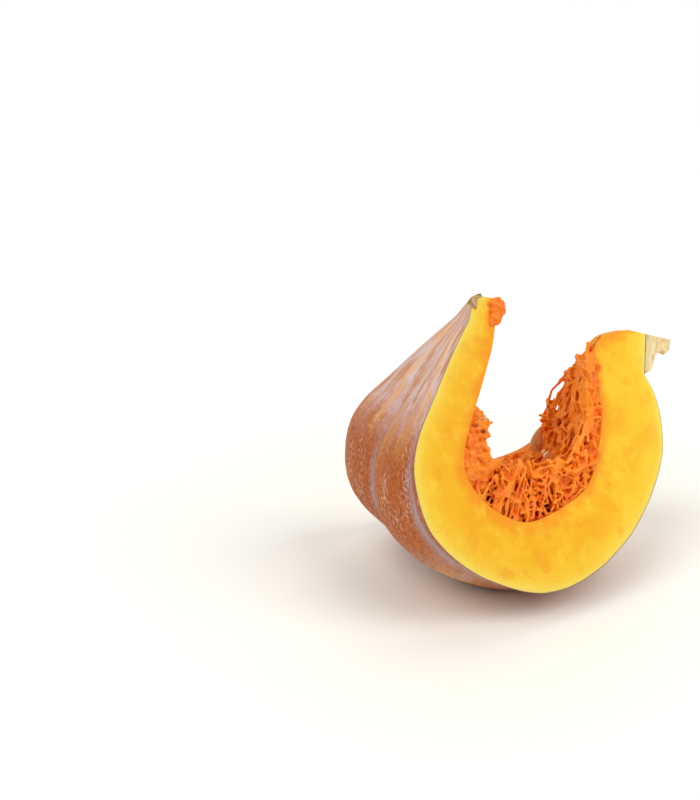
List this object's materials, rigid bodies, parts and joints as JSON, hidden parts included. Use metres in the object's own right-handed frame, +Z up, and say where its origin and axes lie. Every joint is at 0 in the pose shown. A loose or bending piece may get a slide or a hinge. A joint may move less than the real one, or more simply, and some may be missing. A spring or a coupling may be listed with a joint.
{
  "type": "pumpkin wedge",
  "caption": "Wedge of ribbed pumpkin lying on its rind, with cut flesh, an open cavity lined with fibrous pulp and seeds, a stalk stub and a blossom scar.",
  "frame": {"origin": "bottom centre of the bounding box, on the surface the wedge rests on", "axes": "+X from the blossom end to the stalk end, level; -Y towards the front cut; +Z up"},
  "size_m": [0.2442, 0.1748, 0.2081],
  "materials": {
    "flesh_and_rind": "moist cut flesh under a waxy mottled rind",
    "stalk": "dry, corky",
    "scar": "dry, corky",
    "pulp": "wet, fibrous",
    "seed": "smooth, moist"
  },
  "bodies": {
    "root": {"flesh_and_rind": "flesh_and_rind", "stem": "stalk", "blossom_scar": "scar", "pulp_tuft": "pulp", "pulp_web": "pulp", "seed_on_rear_edge": "seed", "seed_in_rear_pocket": "seed", "seed_high_on_stem_side": "seed", "seed_under_film": "seed", "seed_in_floor_pocket": "seed", "seed_on_blossom_side": "seed"}
  },
  "joints": []
}
